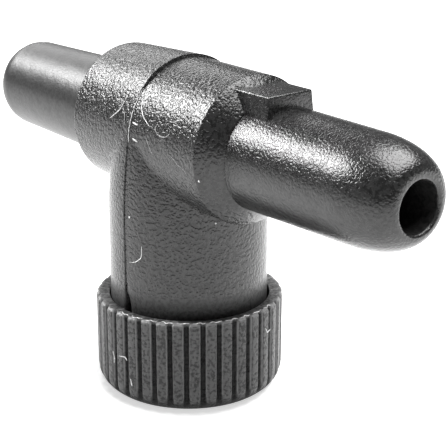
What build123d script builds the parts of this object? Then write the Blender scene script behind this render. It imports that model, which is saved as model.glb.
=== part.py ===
from build123d import *
import math
import os

# Radiator bleed key with a T handle and a screwed, ridged collar.  Millimetres.
# The origin is the centre of the collar's foot, which is the resting face.
# +Z runs up the stem, +X runs along the handle towards the arm with the screw hole.

# ---- driving dimensions: the handle ----
HANDLE_AXIS_Z = 32.85        # height of the barrel's axis over the resting face
LEFT_REACH, RIGHT_REACH = 37.0, 37.75       # axis of the stem to each arm's tip
ARM_DROP = 0.17              # the arms' axis sits this much below the barrel's
LEFT_ARM_ROOT_R, LEFT_ARM_END_R = 6.4, 5.85
RIGHT_ARM_ROOT_R, RIGHT_ARM_END_R = 6.55, 6.25
BARREL_HALF = 12.2           # stem axis to where the bevelled shoulder starts
SHOULDER_RUN = 2.4           # length of the bevel along the handle
BARREL_END_R = 8.82          # the barrel narrows a little away from the seam, for its mould
BARREL_SEAM_R = 8.92
LEFT_PROUD = 0.33            # the left half stands this much proud of the right at the seam
NOSE_RUN = 7.4               # length of the bullet nose on the right arm
NOSE_MOUTH_R = 3.3           # radius where the nose meets the flat round the screw hole
LEFT_END_ROUND = 3.6

# ---- the stem ----
STEM_R = 9.8
LEFT_STEM_PROUD = 0.13
STEM_STRAIGHT_TOP = HANDLE_AXIS_Z - 10.5    # above this the stem leans in to the barrel
STEM_BLEND_R = 8.55
STEM_BLEND_Z = HANDLE_AXIS_Z + 2.6
SPIGOT_R = 8.0               # core of the threaded foot; the thread stands on it
SPIGOT_BOTTOM = 4.4
STEM_SHOULDER_Z = 9.9

# ---- the lug on the right arm ----
LUG_WIDTH, LUG_CORNER_R = 6.4, 0.35
LUG_END = 18.3
LUG_TOP = 7.8                # over the handle's axis

# ---- clamp screw, M3 with a socket cap head ----
HOLE_DROP = 0.4              # the screw hole sits this much below the barrel's axis
ACCESS_R = 2.85
SEAT_X = 8.0
CLEARANCE_R = 1.65
WASHER_R, WASHER_HOLE_R, WASHER_T, WASHER_GAP = 2.8, 1.6, 1.0, 0.35
HEAD_R, HEAD_LENGTH, HEAD_EDGE_R = 2.75, 3.0, 0.3
HEX_KEY_AF, HEX_KEY_DEPTH = 2.5, 1.5
SCREW_R, SCREW_LENGTH = 1.5, 14.0
INSERT_R, INSERT_START, INSERT_LENGTH = 2.3, 0.5, 5.7
INSERT_GROOVE_PLACES = (0.36, 0.68)         # shares of the insert's length
GROOVE_HALF, GROOVE_DEPTH = 0.3, 0.3
THREAD_CLEARANCE = 0.03

# ---- locating pegs across the seam: place across the handle and height over the foot ----
PEG_R, PEG_LENGTH, PEG_CLEARANCE, PEG_END_GAP = 0.9, 2.0, 0.1, 0.4
PEG_PLACES = [(-5.6, HANDLE_AXIS_Z), (5.6, HANDLE_AXIS_Z), (-6.6, 21.0), (6.6, 21.0)]

# ---- square key socket ----
SQUARE_AF = 5.1              # fits the standard 5 mm square bleed screw
SQUARE_DEPTH, LEAD_IN = 9.0, 0.4
MOUTH_Z = 0.3
SOCKET_NOSE_R = 5.0
FLANGE_R, FLANGE_BOTTOM, FLANGE_TOP = 6.9, 2.8, 4.2
SHANK_AF, SHANK_TOP, SHANK_BEVEL = 8.0, 17.0, 1.0
NECK_R, NECK_TOP = 4.62, 5.7
SHANK_CLEARANCE = 0.06

# ---- washer and seal ----
THRUST_R, THRUST_HOLE_R, THRUST_BOTTOM = 7.8, 5.1, 2.25
RING_SECTION_R, RING_CLEARANCE = 0.75, 0.02
RING_POCKET_R, RING_POCKET_TOP = 6.3, 5.75

# ---- collar ----
COLLAR_R, COLLAR_HEIGHT, COLLAR_ROUND = 11.75, 12.05, 2.7
RIDGES, RIDGE_DEPTH, RIDGE_TOP_WIDTH, RIDGE_ROOT_WIDTH = 36, 0.55, 1.05, 1.3
RIDGE_OVERLAP = 0.3          # each ridge is drawn this much past the core and past the blank it is cut to
COLLAR_TOP_BEVEL = 0.3
CREST_R, DISH_DEPTH = 11.3, 0.15      # inside the crest the top slopes down to the counterbore
LIP_HOLE_R, LIP_T = 5.3, 2.2
CHAMBER_R, CHAMBER_TOP = 8.7, 9.7
COUNTERBORE_R = 10.08

SHOULDER_X = BARREL_HALF + SHOULDER_RUN
TOP_OF_ALL = HANDLE_AXIS_Z + 20.0


def rod(x0, x1, r, y=0.0, z=HANDLE_AXIS_Z):
    """A plain cylinder along X."""
    start = Plane(origin=(x0, y, z), x_dir=(0, 1, 0), z_dir=(1, 0, 0))
    return extrude(start * Circle(r), x1 - x0)


def disc(r, z0, z1):
    """A round disc about the stem's axis."""
    return extrude(Plane.XY.offset(z0) * Circle(r), z1 - z0)


def turned_along_x(outline, axis_z):
    """Turn a closed outline, drawn as (x, radius), about a level axis at the given height."""
    face = make_face(Plane.XZ * outline)
    return Pos(0, 0, axis_z) * revolve(face, axis=Axis.X)


def barrel(side, seam_r):
    """Half of the barrel with its bevelled shoulder."""
    corners = [(0, 0), (0, seam_r), (side * BARREL_HALF, BARREL_END_R),
               (side * SHOULDER_X, LEFT_ARM_ROOT_R), (side * SHOULDER_X, 0), (0, 0)]
    return turned_along_x(Polyline(*corners), HANDLE_AXIS_Z)


def arm(side, reach, root_r, end_r, bullet_nose):
    """One arm, from inside the barrel to its tip."""
    tip = side * reach
    root = side * BARREL_HALF / 2
    if bullet_nose:
        nose_start = side * (reach - NOSE_RUN)
        shaft = Polyline((root, 0), (root, root_r), (side * SHOULDER_X, root_r), (nose_start, end_r))
        drop = end_r - NOSE_MOUTH_R
        steps = [math.radians(a) for a in (0, 18, 36, 54, 72, 90)]
        nose_points = [(nose_start + side * NOSE_RUN * math.sin(a), NOSE_MOUTH_R + drop * math.cos(a))
                       for a in steps]
        end = Spline(*nose_points, tangents=[(side, 0), (0, -1)]) + Line((tip, NOSE_MOUTH_R), (tip, 0))
    else:
        round_start = side * (reach - LEFT_END_ROUND)
        shaft = Polyline((root, 0), (root, root_r), (side * SHOULDER_X, root_r), (round_start, end_r))
        corner = end_r - LEFT_END_ROUND
        middle = (round_start + side * LEFT_END_ROUND * math.sin(math.pi / 4),
                  corner + LEFT_END_ROUND * math.cos(math.pi / 4))
        end = ThreePointArc((round_start, end_r), middle, (tip, corner)) + Line((tip, corner), (tip, 0))
    return turned_along_x(shaft + end + Line((tip, 0), (root, 0)), HANDLE_AXIS_Z - ARM_DROP)


def stem(radius):
    """The round stem: threaded foot, full round length, then leaning in to the barrel."""
    foot = Polyline((0, SPIGOT_BOTTOM), (SPIGOT_R, SPIGOT_BOTTOM), (SPIGOT_R, STEM_SHOULDER_Z),
                    (radius, STEM_SHOULDER_Z), (radius, STEM_STRAIGHT_TOP))
    lean = TangentArc((radius, STEM_STRAIGHT_TOP), (STEM_BLEND_R, STEM_BLEND_Z), tangent=(0, 1))
    top = Polyline((STEM_BLEND_R, STEM_BLEND_Z), (0, STEM_BLEND_Z + 3.0), (0, SPIGOT_BOTTOM))
    return revolve(make_face(Plane.XZ * (foot + lean + top)), axis=Axis.Z)


def half_space(side):
    """A block that holds everything on one side of the seam."""
    reach = RIGHT_REACH + 5.0
    return Pos(side * reach / 2, 0, TOP_OF_ALL / 2) * Box(reach, 60, TOP_OF_ALL)


def socket_pocket():
    """Hexagonal pocket for the key socket's shank, and the seat for its sealing ring."""
    corner_r = (SHANK_AF / 2 + SHANK_CLEARANCE) / math.cos(math.pi / 6)
    hexagon = RegularPolygon(corner_r, 6)
    pocket = extrude(Plane.XY.offset(SPIGOT_BOTTOM - 1) * hexagon, SHANK_TOP + 0.5 - SPIGOT_BOTTOM + 1)
    return pocket + disc(RING_POCKET_R, SPIGOT_BOTTOM - 1, RING_POCKET_TOP)


def pegs(radius, length, back=0.0):
    """Pegs that line the halves up, or with a larger radius the holes they enter."""
    group = Part()
    for y, z in PEG_PLACES:
        group += rod(-back, length, radius, y, z)
    return group


def left_shell():
    body = barrel(-1, BARREL_SEAM_R + LEFT_PROUD) + stem(STEM_R + LEFT_STEM_PROUD)
    body += arm(-1, LEFT_REACH, LEFT_ARM_ROOT_R, LEFT_ARM_END_R, False)
    body = body & half_space(-1)
    body -= socket_pocket()
    insert_end = -(INSERT_START + INSERT_LENGTH)
    body -= rod(insert_end, 0.5, INSERT_R, z=HANDLE_AXIS_Z - HOLE_DROP)
    return body + pegs(PEG_R, PEG_LENGTH, back=1.0)


def right_shell():
    lug_x0 = BARREL_HALF - 1.0
    lug_box = Box(LUG_END - lug_x0, LUG_WIDTH, LUG_TOP, align=(Align.MIN, Align.CENTER, Align.MIN))
    lug = fillet(lug_box.edges().filter_by(Axis.Z).sort_by(Axis.X)[-2:], LUG_CORNER_R)
    body = barrel(1, BARREL_SEAM_R) + stem(STEM_R)
    body += arm(1, RIGHT_REACH, RIGHT_ARM_ROOT_R, RIGHT_ARM_END_R, True)
    body += Pos(lug_x0, 0, HANDLE_AXIS_Z) * lug
    body = body & half_space(1)
    body -= socket_pocket()
    hole_z = HANDLE_AXIS_Z - HOLE_DROP
    body -= rod(SEAT_X, RIGHT_REACH + 1, ACCESS_R, z=hole_z)
    body -= rod(-1, SEAT_X + 1, CLEARANCE_R, z=hole_z)
    return body - pegs(PEG_R + PEG_CLEARANCE, PEG_LENGTH + PEG_END_GAP, back=1.0)


def clamp_screw():
    hole_z = HANDLE_AXIS_Z - HOLE_DROP
    head_x = SEAT_X + WASHER_T
    body = rod(head_x, head_x + HEAD_LENGTH, HEAD_R, z=hole_z)
    rim = body.edges().filter_by(GeomType.CIRCLE).sort_by(Axis.X)[-1]
    body = fillet(rim, HEAD_EDGE_R)
    body += rod(head_x - SCREW_LENGTH, head_x + 0.5, SCREW_R, z=hole_z)
    key_start = head_x + HEAD_LENGTH - HEX_KEY_DEPTH
    key_plane = Plane(origin=(key_start, 0, hole_z), x_dir=(0, 1, 0), z_dir=(1, 0, 0))
    hexagon = RegularPolygon(HEX_KEY_AF / 2 / math.cos(math.pi / 6), 6)
    return body - extrude(key_plane * hexagon, HEX_KEY_DEPTH + 1)


def screw_washer():
    """Split spring washer under the screw head, drawn flat as it is when tightened."""
    hole_z = HANDLE_AXIS_Z - HOLE_DROP
    body = rod(SEAT_X, SEAT_X + WASHER_T, WASHER_R, z=hole_z)
    body -= rod(SEAT_X - 1, SEAT_X + WASHER_T + 1, WASHER_HOLE_R, z=hole_z)
    split = Pos(SEAT_X + WASHER_T / 2, 0, hole_z + WASHER_R) * Box(3 * WASHER_T, WASHER_GAP, 2 * WASHER_R)
    return body - split


def threaded_insert():
    """Brass insert with two holding grooves, let into the left half."""
    hole_z = HANDLE_AXIS_Z - HOLE_DROP
    start = -(INSERT_START + INSERT_LENGTH)
    body = rod(start, -INSERT_START, INSERT_R, z=hole_z)
    for share in INSERT_GROOVE_PLACES:
        groove_x = start + share * INSERT_LENGTH
        groove = rod(groove_x - GROOVE_HALF, groove_x + GROOVE_HALF, INSERT_R + 1, z=hole_z)
        body -= groove - rod(groove_x - 1, groove_x + 1, INSERT_R - GROOVE_DEPTH, z=hole_z)
    return body - rod(start - 1, 1, SCREW_R + THREAD_CLEARANCE, z=hole_z)


def key_socket():
    """Brass socket: round nose, retaining flange, ring neck and hexagonal shank."""
    nose = disc(SOCKET_NOSE_R, MOUTH_Z, FLANGE_BOTTOM + 0.5)
    flange = disc(FLANGE_R, FLANGE_BOTTOM, FLANGE_TOP)
    neck = disc(NECK_R, FLANGE_TOP - 0.5, NECK_TOP)
    hexagon = RegularPolygon(SHANK_AF / 2 / math.cos(math.pi / 6), 6)
    shank = extrude(Plane.XY.offset(NECK_TOP - 0.5) * hexagon, SHANK_TOP - NECK_TOP + 0.5)
    blank = Cylinder(SHANK_AF, SHANK_TOP, align=(Align.CENTER, Align.CENTER, Align.MIN))
    blank = chamfer(blank.edges().filter_by(GeomType.CIRCLE).sort_by(Axis.Z)[-1], SHANK_BEVEL)
    shank = shank & blank
    body = nose + flange + neck + shank
    square = extrude(Plane.XY.offset(MOUTH_Z - 1) * Rectangle(SQUARE_AF, SQUARE_AF), SQUARE_DEPTH + 1)
    body -= square
    mouth = SQUARE_AF + 2 * LEAD_IN
    lead_in = extrude(Plane.XY.offset(MOUTH_Z) * Rectangle(mouth, mouth), LEAD_IN, taper=45)
    return body - lead_in


def thrust_washer():
    return disc(THRUST_R, THRUST_BOTTOM, FLANGE_BOTTOM) - disc(THRUST_HOLE_R, THRUST_BOTTOM, FLANGE_BOTTOM)


def o_ring():
    major = NECK_R + RING_SECTION_R + RING_CLEARANCE
    return Pos(0, 0, FLANGE_TOP + RING_SECTION_R) * Torus(major, RING_SECTION_R)


def knurled_collar():
    root_r = COLLAR_R - RIDGE_DEPTH
    half_root, half_top = RIDGE_ROOT_WIDTH / 2, RIDGE_TOP_WIDTH / 2
    inside, outside = root_r - RIDGE_OVERLAP, COLLAR_R + RIDGE_OVERLAP
    corners = [(inside, -half_root), (root_r, -half_root), (outside, -half_top), (outside, half_top),
               (root_r, half_root), (inside, half_root), (inside, -half_root)]
    ridge = make_face(Polyline(*corners))
    plan = Circle(root_r) + PolarLocations(0, RIDGES) * ridge
    ribbed = extrude(plan, COLLAR_HEIGHT)
    blank = Cylinder(COLLAR_R, COLLAR_HEIGHT, align=(Align.CENTER, Align.CENTER, Align.MIN))
    rims = blank.edges().filter_by(GeomType.CIRCLE).sort_by(Axis.Z)
    blank = fillet(rims[0], COLLAR_ROUND)
    top_rim = blank.edges().filter_by(GeomType.CIRCLE).sort_by(Axis.Z)[-1]
    blank = chamfer(top_rim, COLLAR_TOP_BEVEL)
    body = ribbed & blank
    hole = Cylinder(LIP_HOLE_R, 3 * LIP_T)
    chamber = Pos(0, 0, LIP_T) * Cylinder(CHAMBER_R, COLLAR_HEIGHT,
                                          align=(Align.CENTER, Align.CENTER, Align.MIN))
    counterbore = Pos(0, 0, CHAMBER_TOP) * Cylinder(COUNTERBORE_R, COLLAR_HEIGHT,
                                                    align=(Align.CENTER, Align.CENTER, Align.MIN))
    dish = Pos(0, 0, COLLAR_HEIGHT - DISH_DEPTH) * Cone(COUNTERBORE_R, CREST_R, DISH_DEPTH,
                                                        align=(Align.CENTER, Align.CENTER, Align.MIN))
    return body - hole - chamber - counterbore - dish


PIECES = {
    "left_shell": left_shell,
    "right_shell": right_shell,
    "clamp_screw": clamp_screw,
    "screw_washer": screw_washer,
    "threaded_insert": threaded_insert,
    "key_socket": key_socket,
    "thrust_washer": thrust_washer,
    "o_ring": o_ring,
    "knurled_collar": knurled_collar,
}

os.makedirs("parts", exist_ok=True)
for name, make in PIECES.items():
    piece = make()
    print(f"{name:16s} solids {len(piece.solids())}  volume {piece.volume:9.2f} mm3")
    export_step(piece, f"parts/{name}.step")
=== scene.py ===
# %% [markdown]
# # A radiator bleed key
# A moulded T handle in two halves, a ridged screw collar round its foot, and a
# brass square socket that the collar holds in place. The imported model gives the
# bodies and the places; this script gives every piece its finished shape and skin.

# %% Load the frame
import math
import bmesh
import bpy
from mathutils import Matrix, Vector


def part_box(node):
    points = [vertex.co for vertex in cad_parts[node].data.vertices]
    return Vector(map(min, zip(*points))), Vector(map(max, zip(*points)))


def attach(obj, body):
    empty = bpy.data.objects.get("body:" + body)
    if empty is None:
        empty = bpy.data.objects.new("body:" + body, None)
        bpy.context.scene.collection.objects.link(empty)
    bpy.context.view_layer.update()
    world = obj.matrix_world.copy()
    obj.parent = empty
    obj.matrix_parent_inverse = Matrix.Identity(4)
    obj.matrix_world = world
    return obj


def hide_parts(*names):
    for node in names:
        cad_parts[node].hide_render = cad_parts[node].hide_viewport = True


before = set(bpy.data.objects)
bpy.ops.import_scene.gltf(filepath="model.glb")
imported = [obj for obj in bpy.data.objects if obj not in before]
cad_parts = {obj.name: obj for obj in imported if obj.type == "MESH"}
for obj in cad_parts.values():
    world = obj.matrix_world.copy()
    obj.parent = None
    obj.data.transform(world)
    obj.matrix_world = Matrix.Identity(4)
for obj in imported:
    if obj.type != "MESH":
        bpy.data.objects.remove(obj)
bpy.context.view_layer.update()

MM = 0.001
print("CAD nodes:", sorted(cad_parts))

# %% [markdown]
# Places come from the CAD nodes. The collar gives the foot and its own height,
# the screw gives the height of its hole, and the handle's axis is just above it.

# %% Read the main places, in millimetres
def box_mm(node):
    """Lowest and highest corner of a CAD node, in millimetres."""
    low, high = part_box(node)
    return low / MM, high / MM


_, collar_high = box_mm("knurled_collar")
screw_low, screw_high = box_mm("clamp_screw")
socket_low, socket_high = box_mm("key_socket")
right_low, right_high = box_mm("right_shell")
left_low, _ = box_mm("left_shell")

COLLAR_TOP = round(collar_high.z, 2)
COLLAR_R = round(collar_high.x, 2)
HOLE_Z = round((screw_low.z + screw_high.z) / 2, 2)
HOLE_DROP, ARM_DROP = 0.4, 0.17       # hole and arms sit this far below the barrel's axis
AXIS_Z = round(HOLE_Z + HOLE_DROP, 2)
ARM_Z = AXIS_Z - ARM_DROP
RIGHT_REACH, LEFT_REACH = round(right_high.x, 2), round(-left_low.x, 2)
FOOT_Z = round(right_low.z, 2)
print("collar top", COLLAR_TOP, "radius", COLLAR_R, "handle axis", AXIS_Z, "reach", LEFT_REACH, RIGHT_REACH)

# %% [markdown]
# Most pieces of this key are turned shapes. A lathe outline is a short list of
# corners, each with its own rounding, so no edge is left as a knife edge: light
# has to catch on a small radius, as it does on moulded plastic and turned brass.

# %% Outlines with rounded corners
def rounded(corners, steps=6):
    """Points through the corners. A corner is (along, out) or (along, out, rounding)."""
    points = []
    for i, corner in enumerate(corners):
        here = Vector(corner[:2])
        rounding = corner[2] if len(corner) > 2 else 0.0
        if rounding == 0.0:
            points.append(here)
            continue
        before = (Vector(corners[i - 1][:2]) - here).normalized()
        after = (Vector(corners[(i + 1) % len(corners)][:2]) - here).normalized()
        half = before.angle(after) / 2
        centre = here + (before + after).normalized() * rounding / math.sin(half)
        first = here + before * rounding / math.tan(half) - centre
        last = here + after * rounding / math.tan(half) - centre
        turn = math.atan2(first.x * last.y - first.y * last.x, first.dot(last))
        for k in range(steps + 1):
            a = turn * k / steps
            spun = (first.x * math.cos(a) - first.y * math.sin(a),
                    first.x * math.sin(a) + first.y * math.cos(a))
            points.append(centre + Vector(spun))
    return points


def filled_in(points, pitch):
    """The same outline with extra points, so that no step is longer than the pitch."""
    out = [points[0]]
    for a, b in zip(points, points[1:]):
        parts = max(1, math.ceil((b - a).length / pitch))
        out += [a.lerp(b, k / parts) for k in range(1, parts + 1)]
    return out


def plain(corners):
    """Corners with no rounding, as an outline."""
    return [Vector(corner) for corner in corners]


print("one rounded corner has", len(rounded([(0, 0), (0, 5, 1), (5, 5)])) - 2, "points")

# %% [markdown]
# One function turns an outline about the stem (axis Z) or about the handle
# (axis X). It can bend the radius with a small function of angle and place,
# which is how the collar gets its ridges and the foot gets its screw thread.

# %% Turn an outline into a mesh
def around_stem(along, out, angle):
    return Vector((out * math.cos(angle), out * math.sin(angle), along))


def around_handle(along, out, angle, z=AXIS_Z):
    return Vector((along, -out * math.sin(angle), z + out * math.cos(angle)))


def around_arm(along, out, angle):
    return around_handle(along, out, angle, ARM_Z)


def around_hole(along, out, angle):
    return around_handle(along, out, angle, HOLE_Z)


def even_angles(count):
    return [2 * math.pi * k / count for k in range(count)]


def as_piece(name, bm):
    """An object with the mesh that was built, linked into the scene."""
    mesh = bpy.data.meshes.new(name)
    bm.to_mesh(mesh)
    bm.free()
    piece = bpy.data.objects.new(name, mesh)
    bpy.context.scene.collection.objects.link(piece)
    return piece


def turned(name, outline, place, angles, ring=False, bend=None):
    """Mesh object turned from an outline; a ring's outline closes on itself."""
    bm = bmesh.new()
    columns = []
    poles = {}
    for angle in angles:
        column = []
        for i, (along, out) in enumerate(outline):
            if not ring and out < 1e-9:
                if i not in poles:
                    poles[i] = bm.verts.new(place(along, 0.0, 0.0) * MM)
                column.append(poles[i])
                continue
            if bend:
                out = bend(along, out, angle)
            column.append(bm.verts.new(place(along, out, angle) * MM))
        columns.append(column)
    rows = len(outline)
    for c, column in enumerate(columns):
        following = columns[(c + 1) % len(columns)]
        for r in range(rows if ring else rows - 1):
            s = (r + 1) % rows
            corners = [column[r], column[s], following[s], following[r]]
            corners = [v for k, v in enumerate(corners) if v not in corners[:k]]
            if len(corners) > 2:
                bm.faces.new(corners)
    bmesh.ops.recalc_face_normals(bm, faces=bm.faces)
    return as_piece(name, bm)


def smooth(piece, crease_degrees=38):
    """Smooth shading, with edges sharper than the crease angle kept crisp."""
    piece.data.shade_smooth()
    piece.data.set_sharp_from_angle(angle=math.radians(crease_degrees))
    return piece


print("a quarter turn about the stem goes to", tuple(round(c) for c in around_stem(0, 1, math.pi / 2)))

# %% [markdown]
# The halves of the handle are unions of turned shapes with holes cut through.
# Booleans do that in one step each, as the toolmaker cuts one mould with several
# cutters. The cutter object is thrown away once its shape is in the piece.

# %% Join and cut
def combine(piece, tool, how):
    """Apply one boolean of the tool to the piece and remove the tool."""
    step = piece.modifiers.new("step", "BOOLEAN")
    step.operation = how
    step.object = tool
    step.solver = "MANIFOLD"
    shaped = bpy.data.meshes.new_from_object(piece.evaluated_get(bpy.context.evaluated_depsgraph_get()))
    piece.modifiers.clear()
    old = piece.data
    piece.data = shaped
    shaped.name = piece.name
    bpy.data.meshes.remove(old)
    tool_mesh = tool.data
    bpy.data.objects.remove(tool)
    bpy.data.meshes.remove(tool_mesh)
    print(how.lower(), "made", piece.name, "with", len(shaped.polygons), "faces")
    return piece


def block(name, low, high, rounding=0.0, steps=4, draft=0.0):
    """A box between two corners in millimetres, with softened edges.

    The draft spreads its foot across the handle, as a moulded lug spreads.
    """
    bm = bmesh.new()
    bmesh.ops.create_cube(bm, size=1.0)
    low, high = Vector(low), Vector(high)
    for v in bm.verts:
        corner = Vector(low[k] if v.co[k] < 0 else high[k] for k in range(3))
        if v.co.z < 0:
            corner.y += math.copysign(draft, v.co.y)
        v.co = corner * MM
    if rounding:
        bmesh.ops.bevel(bm, geom=bm.edges, offset=rounding * MM, segments=steps,
                        profile=0.5, affect="EDGES")
    return as_piece(name, bm)


def prism(name, sides, across_flats, z0, z1, turn=0.0):
    """An upright prism with flat sides, for a broached or moulded pocket."""
    corner = across_flats / 2 / math.cos(math.pi / sides)
    angles = [turn + 2 * math.pi * k / sides for k in range(sides)]
    return turned(name, plain([(z0, 0), (z0, corner), (z1, corner), (z1, 0)]), around_stem, angles)


# %% [markdown]
# ## The two halves of the handle
# The handle is moulded as two halves that meet on a plane through the stem. The
# left half stands a little proud of the right over the crown, and both edges are
# slightly rounded, so the joint reads as a dark line with a small step. The
# barrel and both arms taper away from the joint so that they leave their moulds.
# A lathe shape is the natural choice for each, since the real mould was turned.

# %% Sizes of the halves
BARREL_R, BARREL_END_R, BARREL_END_X, SHOULDER_X = 8.92, 8.82, 12.2, 14.6
LEFT_PROUD, LEFT_STEM_PROUD = 0.33, 0.13
LEFT_ROOT_R, LEFT_END_R, LEFT_ROUND = 6.4, 5.85, 3.6
RIGHT_ROOT_R, RIGHT_END_R = 6.55, 6.25
NOSE_RUN, NOSE_MOUTH_R = 7.4, 3.3
STEM_R, STEM_SHOULDER_Z, STEM_BEND_Z = 9.8, 9.9, AXIS_Z - 10.5
STEM_TOP_R, STEM_TOP_Z = 8.55, AXIS_Z + 2.6
SPIGOT_R = 8.0
THREAD_PITCH, THREAD_RISE = 2.0, 0.5
JOINT_STEPS = [0.0, 0.04, 0.09, 0.15, 0.22, 0.3, 0.4, 0.55, 0.75, 1.0, 1.3, 1.7]   # rows beside the joint
LUG_HALF, LUG_END, LUG_HEIGHT = 3.2, 18.3, 7.8
LUG_ROUND, LUG_DRAFT = 0.22, 1.1
print("barrel", 2 * BARREL_R, "across, stem", 2 * STEM_R, "across")


# %% [markdown]
# The barrel's half is an outline that runs from just past the joint to the foot
# of its bevelled shoulder. Each arm is another outline, with a bullet nose on
# the right and a blunt round end on the left. They are turned one at a time and
# joined later, because each then keeps an even mesh of its own.

# %% The barrel and an arm
HANDLE_COLUMNS, ROW_PITCH = 192, 1.2      # columns round the handle, longest step along it
ARM_START_X = 6.0                         # an arm starts inside the barrel


def ease(t):
    """A slow start and a slow stop between 0 and 1."""
    t = min(1.0, max(0.0, t))
    return t * t * (3 - 2 * t)


def barrel(name, side, seam_r, root_r):
    """Half of the barrel, from just past the joint to the foot of its bevel."""
    def barrel_r(x):
        return seam_r + (BARREL_END_R - seam_r) * max(x, 0) / BARREL_END_X

    start = plain([(-1.0, 0.0), (-1.0, barrel_r(0))] + [(x, barrel_r(x)) for x in JOINT_STEPS])
    corners = [(JOINT_STEPS[-1], barrel_r(JOINT_STEPS[-1])), (BARREL_END_X, BARREL_END_R, 0.35),
               (SHOULDER_X, root_r - 0.12, 0.2), (SHOULDER_X, 0.0)]
    outline = start[:-1] + filled_in(rounded(corners), ROW_PITCH)
    return turned(name, [Vector((side * p.x, p.y)) for p in outline], around_handle,
                  even_angles(HANDLE_COLUMNS), bend=crown_step if side < 0 else None)


def crown_step(x, r, angle):
    """The left half stands proud only over the crown of the barrel."""
    off_crown = 1 - ease((math.cos(angle) - 0.45) / 0.5)
    return r - 0.8 * LEFT_PROUD * off_crown * ease((r - 6.5) / 2.3)


def arm(name, side, root_r, end):
    """An arm from inside the barrel to its tip."""
    outline = filled_in(plain([(ARM_START_X, 0.0), (ARM_START_X, root_r)]) + rounded(end), ROW_PITCH)
    return turned(name, [Vector((side * p.x, p.y)) for p in outline], around_arm,
                  even_angles(HANDLE_COLUMNS))


def bullet_nose():
    """Elliptical nose that closes on the flat round the screw hole."""
    first = RIGHT_REACH - NOSE_RUN
    quarter = [math.radians(a) for a in range(0, 91, 5)]
    drop = RIGHT_END_R - NOSE_MOUTH_R
    nose = [(first + NOSE_RUN * math.sin(a), NOSE_MOUTH_R + drop * math.cos(a)) for a in quarter]
    return nose + [(RIGHT_REACH, 0.0)]


def round_end():
    """Blunt tip with a full rounding."""
    return [(LEFT_REACH - LEFT_ROUND - 0.5, LEFT_END_R), (LEFT_REACH, LEFT_END_R, LEFT_ROUND),
            (LEFT_REACH, 0.0)]


print("right arm", round(RIGHT_REACH - SHOULDER_X, 2), "long, left arm", round(LEFT_REACH - SHOULDER_X, 2))

# %% [markdown]
# The stem is one lathe shape as well: a threaded foot for the collar, a full
# round length, and a top that leans in until it meets the barrel's widest line.
# The lean is what draws the pointed arch where stem and barrel meet.

# %% The stem
THREAD_ROW = 0.11       # step along a screw thread


def stem_angles():
    """Even columns, with close ones where the stem crosses the joint."""
    angles = [math.radians(a) for a in range(0, 360, 2)]
    for d in JOINT_STEPS[1:]:
        lean = math.asin(d / STEM_R)
        for crossing in (math.pi / 2, 3 * math.pi / 2):
            angles += [crossing - lean, crossing + lean]
    return sorted(set(round(a, 6) for a in angles))


def thread_bend(base_r, rise, z0, z1, phase=0.0):
    """Radius of a screw thread between two heights, fading out at both ends."""
    def bend(z, r, angle):
        if abs(r - base_r) > 0.02 or not z0 < z < z1:
            return r
        turn = ((z / THREAD_PITCH) - angle / (2 * math.pi) + phase) % 1.0
        ridge = max(0.0, 1.0 - abs(turn - 0.5) * 4.0)
        fade = min(1.0, (z - z0) / 0.5, (z1 - z) / 0.5)
        return r + rise * min(1.0, ridge * 1.25) * fade
    return bend


def stem(name, proud):
    """The whole stem, wider by proud, with its threaded foot and its lean at the top."""
    radius = STEM_R + proud
    bend_run = STEM_TOP_Z - STEM_BEND_Z
    drop = radius - (STEM_TOP_R + proud * 0.5)
    arc_r = (bend_run ** 2 + drop ** 2) / (2 * drop)
    arc_turn = math.asin(bend_run / arc_r)
    lean = [Vector((STEM_BEND_Z + arc_r * math.sin(a), radius - arc_r * (1 - math.cos(a))))
            for a in [arc_turn * k / 18 for k in range(1, 19)]]
    foot = rounded([(FOOT_Z, 0.0), (FOOT_Z, SPIGOT_R, 0.35), (STEM_SHOULDER_Z, SPIGOT_R, 0.2),
                    (STEM_SHOULDER_Z, radius, 1.5), (STEM_BEND_Z, radius)])
    rows = []
    for a, b in zip(foot, foot[1:]):
        on_thread = abs(a.y - SPIGOT_R) < 0.02 and abs(b.y - SPIGOT_R) < 0.02
        rows += filled_in([a, b], THREAD_ROW if on_thread else 1.5)[:-1]
    rows += [foot[-1]] + lean + [Vector((STEM_TOP_Z + 3.0, 0.0))]
    bend = thread_bend(SPIGOT_R, THREAD_RISE, FOOT_Z + 0.5, STEM_SHOULDER_Z - 0.5)
    return turned(name, rows, around_stem, stem_angles(), bend=bend)


print("the stem has", len(stem_angles()), "columns")

# %% [markdown]
# The joint's edge is softened after the half is cut, by pulling points near the
# joint inwards. A bevel would catch the other edges of the cut as well. The
# right half is softened more, and most of all at the foot of the stem, where the
# two halves spread into a small dark wedge.

# %% Soften the edges along the joint
def soften_joint(piece, side, radius_at):
    """Round the outer edges that lie on the joint plane."""
    bm = bmesh.new()
    bm.from_mesh(piece.data)
    bm.normal_update()
    moves = []
    for v in bm.verts:
        from_joint = side * v.co.x / MM
        rounding = radius_at(v.co.z / MM)
        if from_joint > rounding:
            continue
        sideways = Vector((0.0, v.normal.y, v.normal.z))
        if sideways.length < 0.2:
            continue
        depth = rounding - math.sqrt(max(0.0, rounding ** 2 - (rounding - from_joint) ** 2))
        moves.append((v, sideways.normalized() * depth * MM))
    for v, move in moves:
        v.co -= move
    bm.to_mesh(piece.data)
    bm.free()


def right_edge(z):
    """Rounding of the right half's edge: most at the stem's foot, some on the crown."""
    crown = ease((z - AXIS_Z - 4.5) / 3.5)
    return 0.09 + 1.6 * stem_foot(z) + 0.4 * crown


def left_edge(z):
    return 0.06 + 0.3 * stem_foot(z)


def stem_foot(z):
    """How near a height is to the foot of the stem, just above its threaded part."""
    return ease((COLLAR_TOP + 2.9 - z) / 3.0) * ease((z - STEM_SHOULDER_Z + 0.3) / 0.8)


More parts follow.
